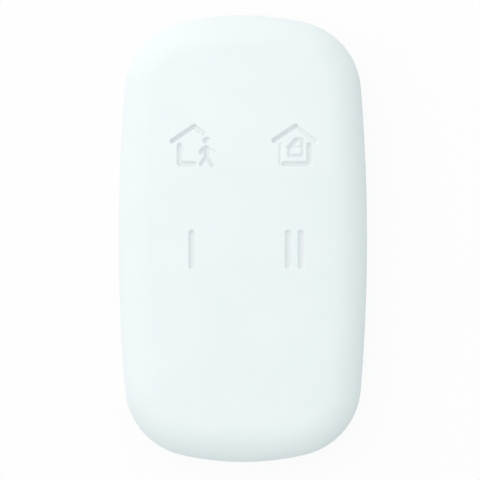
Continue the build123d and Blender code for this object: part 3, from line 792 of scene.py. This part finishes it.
def makeChipCeramic():
    # Small blocks with tinned ends: the ends lie beyond a distance from each column's middle
    material, tree, shader, place = newMaterial("chipCeramic")
    low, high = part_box("chip_parts")
    middle = (low.x + high.x) / 2
    columnOffset = (high.x - low.x) / 2 - chipLook["halfWidth"] * mm
    x = addNode(tree, "ShaderNodeSeparateXYZ", [(0, place)]).outputs["X"]
    fromMiddle = mathNode(tree, "ABSOLUTE", mathNode(tree, "SUBTRACT", x, middle))
    fromColumn = mathNode(tree, "ABSOLUTE", mathNode(tree, "SUBTRACT", fromMiddle, columnOffset))
    bare = chipLook["bareHalf"] * mm
    tinned = ramp(tree, fromColumn, bare, bare + chipLook["tinEdge"] * mm)
    height, cloud = grainOutputs(tree, place, chipLook)
    tintInto(tree, shader, cloud, chipLook)
    paintOver(tree, shader, tinned, chipLook["tin"])
    tree.links.new(tinned, shader.inputs["Metallic"])
    glossInto(tree, shader, cloud, chipLook)
    bumpInto(tree, shader, height, chipLook)
    return material


lampLook = {"body": (0.8, 0.8, 0.77, 1), "phosphor": (0.85, 0.7, 0.15, 1), "phosphorRadius": 0.3,
            "phosphorEdge": 0.12, "roughness": 0.25, "spread": 0.05, "fineness": 6000.0, "coarse": 900.0,
            "bump": 0.15, "relief": 0.01}


def makeLampResin():
    # Yellow phosphor in the middle of a pale body
    material, tree, shader, place = newMaterial("lampResin")
    low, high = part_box("indicator_lamp")
    away = vectorMath(tree, "DISTANCE", place, ((low.x + high.x) / 2, (low.y + high.y) / 2, high.z))
    inner = lampLook["phosphorRadius"] * mm
    phosphor = ramp(tree, away, inner, inner + lampLook["phosphorEdge"] * mm, 1.0, 0.0)
    colour = mixColour(tree, phosphor, lampLook["body"], lampLook["phosphor"])
    tree.links.new(colour, shader.inputs["Base Color"])
    height, cloud = grainOutputs(tree, place, lampLook)
    glossInto(tree, shader, cloud, lampLook)
    bumpInto(tree, shader, height, lampLook)
    return material


clearLook = {"colour": (0.93, 0.96, 0.97, 1), "transmission": 0.9, "roughness": 0.07, "spread": 0.03,
             "fineness": 2500.0, "coarse": 300.0, "bump": 0.1, "relief": 0.004}


def makeClearPlastic():
    material, tree, shader, place = newMaterial("clearPlastic")
    height, cloud = grainOutputs(tree, place, clearLook)
    glossInto(tree, shader, cloud, clearLook)
    bumpInto(tree, shader, height, clearLook)
    shader.inputs["Base Color"].default_value = clearLook["colour"]
    shader.inputs["Transmission Weight"].default_value = clearLook["transmission"]
    return material


# Plain moulded finishes: what all share, then what each has of its own
plainLook = {"spread": 0.06, "fineness": 5000.0, "coarse": 300.0, "bump": 0.5, "relief": 0.01}
plainLooks = {
    "framePlastic": {"light": (0.78, 0.8, 0.8, 1), "dark": (0.74, 0.76, 0.76, 1), "roughness": 0.5},
    "keyPlastic": {"light": (0.76, 0.77, 0.78, 1), "dark": (0.7, 0.71, 0.72, 1), "roughness": 0.45},
    "stemPlastic": {"light": (0.7, 0.68, 0.61, 1), "dark": (0.62, 0.6, 0.53, 1), "roughness": 0.42},
    "switchBlack": {"light": (0.05, 0.05, 0.05, 1), "dark": (0.035, 0.035, 0.035, 1), "roughness": 0.5},
    "chipPlastic": {"light": (0.035, 0.035, 0.037, 1), "dark": (0.022, 0.022, 0.024, 1), "roughness": 0.55,
                    "fineness": 8000.0},
    "holderPlastic": {"light": (0.06, 0.06, 0.062, 1), "dark": (0.045, 0.045, 0.047, 1), "roughness": 0.52},
    "gasketRubber": {"light": (0.11, 0.11, 0.11, 1), "dark": (0.08, 0.08, 0.08, 1), "roughness": 0.7},
    "markInk": {"light": printInk, "dark": (0.17, 0.19, 0.2, 1), "roughness": 0.5},
}
plain = {name: mouldedPlastic(name, {**plainLook, **look})[0] for name, look in plainLooks.items()}

# Metals with lines along one way, then those with circular lines
sheetLook = {"smoother": 0.08, "rougher": 0.1, "lineSpan": (0.2, 0.8), "bump": 0.4, "relief": 0.004}
sheetLooks = {
    "screwSteel": {"light": (0.74, 0.74, 0.72, 1), "dark": (0.6, 0.6, 0.59, 1), "roughness": 0.3,
                   "stretch": (1, 1, 0.2), "scale": 6000.0},
    "springMetal": {"light": (0.8, 0.77, 0.7, 1), "dark": (0.66, 0.62, 0.55, 1), "roughness": 0.28,
                    "stretch": (0.15, 1, 1), "scale": 5000.0},
    "canMetal": {"light": (0.78, 0.78, 0.76, 1), "dark": (0.66, 0.66, 0.65, 1), "roughness": 0.25,
                 "stretch": (0.2, 1, 1), "scale": 6000.0},
    "switchSteel": {"light": (0.76, 0.76, 0.75, 1), "dark": (0.62, 0.62, 0.62, 1), "roughness": 0.3,
                    "stretch": (1, 0.15, 1), "scale": 5000.0},
}
metals = {name: sheetMetal(name, {**sheetLook, **look}) for name, look in sheetLooks.items()}
turnedLook = {"smoother": 0.05, "rougher": 0.1, "lineSpan": (0.2, 0.8), "bump": 0.3, "relief": 0.003,
              "stretch": (1, 1, 1)}
cellLook = {**turnedLook, "light": (0.72, 0.72, 0.71, 1), "dark": (0.58, 0.58, 0.58, 1), "roughness": 0.26,
            "scale": 9000.0}
domeLook = {**turnedLook, "light": (0.8, 0.79, 0.75, 1), "dark": (0.7, 0.68, 0.63, 1), "roughness": 0.2,
            "scale": 14000.0}

coverPlastic = makeCoverPlastic()
finishes = {
    "front_frame": plain["framePlastic"],
    "rear_cover": coverPlastic,
    "battery_door": coverPlastic,
    "circuit_board": makeBoardLaminate(),
    "radio_chip": plain["chipPlastic"],
    "crystal_can": metals["canMetal"],
    "chip_parts": makeChipCeramic(),
    "strip_antenna": metals["springMetal"],
    "indicator_lamp": makeLampResin(),
    "light_guide": makeClearPlastic(),
    "cell_holder": plain["holderPlastic"],
    "coin_cell": turnedMetal("cellSteel", cellLook, 0.0, doorMiddleY),
    "cap_contact": metals["springMetal"],
    "rim_contact": metals["springMetal"],
    "door_gasket": plain["gasketRubber"],
}
for keyName, (keyX, keyY) in keyCentres.items():
    finishes[f"key_pad_{keyName}"] = plain["keyPlastic"]
    finishes[f"switch_base_{keyName}"] = plain["switchBlack"]
    finishes[f"switch_cover_{keyName}"] = metals["switchSteel"]
    finishes[f"switch_stem_{keyName}"] = plain["stemPlastic"]
    makeDome(keyName, turnedMetal(f"domeSteel_{keyName}", domeLook, keyX, keyY))
for nodeName, material in finishes.items():
    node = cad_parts[nodeName]
    node.data.materials.clear()
    node.data.materials.append(material)
makeScrews(metals["screwSteel"])
makeDoorMarks(plain["markInk"])
print("hard pieces finished")


# Floor, light and camera
floorForm = {"half": 900.0, "drop": 0.03, "colour": (0.99, 0.99, 0.99, 1), "ownShadow": 0.12,
             "toothScale": 900.0, "toothDetail": 3.0, "toothTone": 0.995}
skyForm = {"level": 0.83, "colour": (0.96, 0.995, 1.0), "underWay": (-0.7, 0.7, 0.0), "underFall": 0.9,
           "underFullAt": -0.7}
lampForm = {"way": (-0.5, 0.5, 0.7071), "distance": 700.0, "size": 1000.0, "power": 1.75,
            "colour": (1.22, 1.0, 0.98)}


def seenDirectly(tree):
    # 1 for rays from the camera and for those that reflections and clear pieces send on
    rays = addNode(tree, "ShaderNodeLightPath").outputs
    sent = mathNode(tree, "MAXIMUM", rays["Is Glossy Ray"], rays["Is Transmission Ray"])
    return mathNode(tree, "MAXIMUM", rays["Is Camera Ray"], sent)


def makeFloor():
    # Paper that mostly glows white for the camera and keeps a share of its own light and shadow
    form = floorForm
    half, level = form["half"] * mm, -form["drop"] * mm
    mesh = bpy.data.meshes.new("floor")
    corners = [(-half, -half, level), (half, -half, level), (half, half, level), (-half, half, level)]
    mesh.from_pydata(corners, [], [(0, 1, 2, 3)])
    floor = bpy.data.objects.new("floor", mesh)
    bpy.context.scene.collection.objects.link(floor)
    # The sky's light passes the floor, so that it reaches the back too
    floor.visible_diffuse = False
    material = bpy.data.materials.new("floorPaper")
    material.use_nodes = True
    tree = material.node_tree
    tree.nodes.clear()
    tooth = addNode(tree, "ShaderNodeTexNoise", [
        ("Scale", form["toothScale"]), ("Detail", form["toothDetail"])])
    tone = overNoise(tree, tooth.outputs["Fac"], form["toothTone"], 1.0)
    colour = vectorMath(tree, "MULTIPLY", form["colour"][:3], tone)
    paper = addNode(tree, "ShaderNodeBsdfDiffuse", [("Color", colour)])
    glow = addNode(tree, "ShaderNodeEmission", [("Color", form["colour"]), ("Strength", 1.0)])
    share = mathNode(tree, "MULTIPLY", seenDirectly(tree), 1 - form["ownShadow"])
    lit = addNode(tree, "ShaderNodeMixShader", [(0, share), (1, paper.outputs[0]), (2, glow.outputs[0])])
    # From below the floor is clear
    clear = addNode(tree, "ShaderNodeBsdfTransparent")
    below = addNode(tree, "ShaderNodeNewGeometry").outputs["Backfacing"]
    sided = addNode(tree, "ShaderNodeMixShader", [(0, below), (1, lit.outputs[0]), (2, clear.outputs[0])])
    addNode(tree, "ShaderNodeOutputMaterial", [("Surface", sided.outputs[0])])
    mesh.materials.append(material)


def makeLamp():
    lamp = bpy.data.lights.new("keyLamp", "AREA")
    lamp.shape = "DISK"
    lamp.size, lamp.energy, lamp.color = lampForm["size"] * mm, lampForm["power"], lampForm["colour"]
    holder = bpy.data.objects.new("keyLamp", lamp)
    direction = Vector(lampForm["way"]).normalized()
    holder.location = direction * lampForm["distance"] * mm
    holder.rotation_euler = direction.to_track_quat("Z", "Y").to_euler()
    bpy.context.scene.collection.objects.link(holder)


def makeWorld():
    # As light the world is an even, slightly cool sky. Below the horizon it is stronger on one side than
    # on the other, so that the back shows its form. What the camera and reflections see is plain white.
    world = bpy.data.worlds.new("studio")
    bpy.context.scene.world = world
    world.use_nodes = True
    tree = world.node_tree
    way = addNode(tree, "ShaderNodeTexCoord").outputs["Generated"]
    lean = vectorMath(tree, "DOT_PRODUCT", way, skyForm["underWay"])
    height = addNode(tree, "ShaderNodeSeparateXYZ", [(0, way)]).outputs["Z"]
    under = ramp(tree, height, skyForm["underFullAt"], 0.0, skyForm["underFall"] * skyForm["level"], 0.0)
    level = mathNode(tree, "MULTIPLY_ADD", under, lean, skyForm["level"])
    sky = vectorMath(tree, "MULTIPLY", skyForm["colour"], level)
    colour = mixColour(tree, seenDirectly(tree), sky, floorForm["colour"])
    tree.links.new(colour, tree.nodes["Background"].inputs["Color"])


# The photograph looks straight down on the front; its scale and the object's middle were measured in it
cameraForm = {"imageSize": 480, "pixelSize": 0.1523, "middleX": 242.9, "middleY": 238.6,
              "distance": 520.0, "widestHeight": 5.0, "clipNear": 10.0, "clipFar": 10000.0}


def makeCamera():
    form = cameraForm
    camera = bpy.data.cameras.new("camera")
    reach = form["distance"] - form["widestHeight"]
    camera.lens = camera.sensor_width * reach / (form["pixelSize"] * form["imageSize"])
    camera.clip_start, camera.clip_end = form["clipNear"] * mm, form["clipFar"] * mm
    holder = bpy.data.objects.new("camera", camera)
    offX = (form["imageSize"] / 2 - form["middleX"]) * form["pixelSize"]
    offY = (form["middleY"] - form["imageSize"] / 2) * form["pixelSize"]
    holder.location = (offX * mm, offY * mm, form["distance"] * mm)
    bpy.context.scene.collection.objects.link(holder)
    bpy.context.scene.camera = holder


makeFloor()
makeWorld()
makeLamp()
makeCamera()
bpy.context.scene.view_settings.view_transform = "Standard"
print("stage, light and camera made")
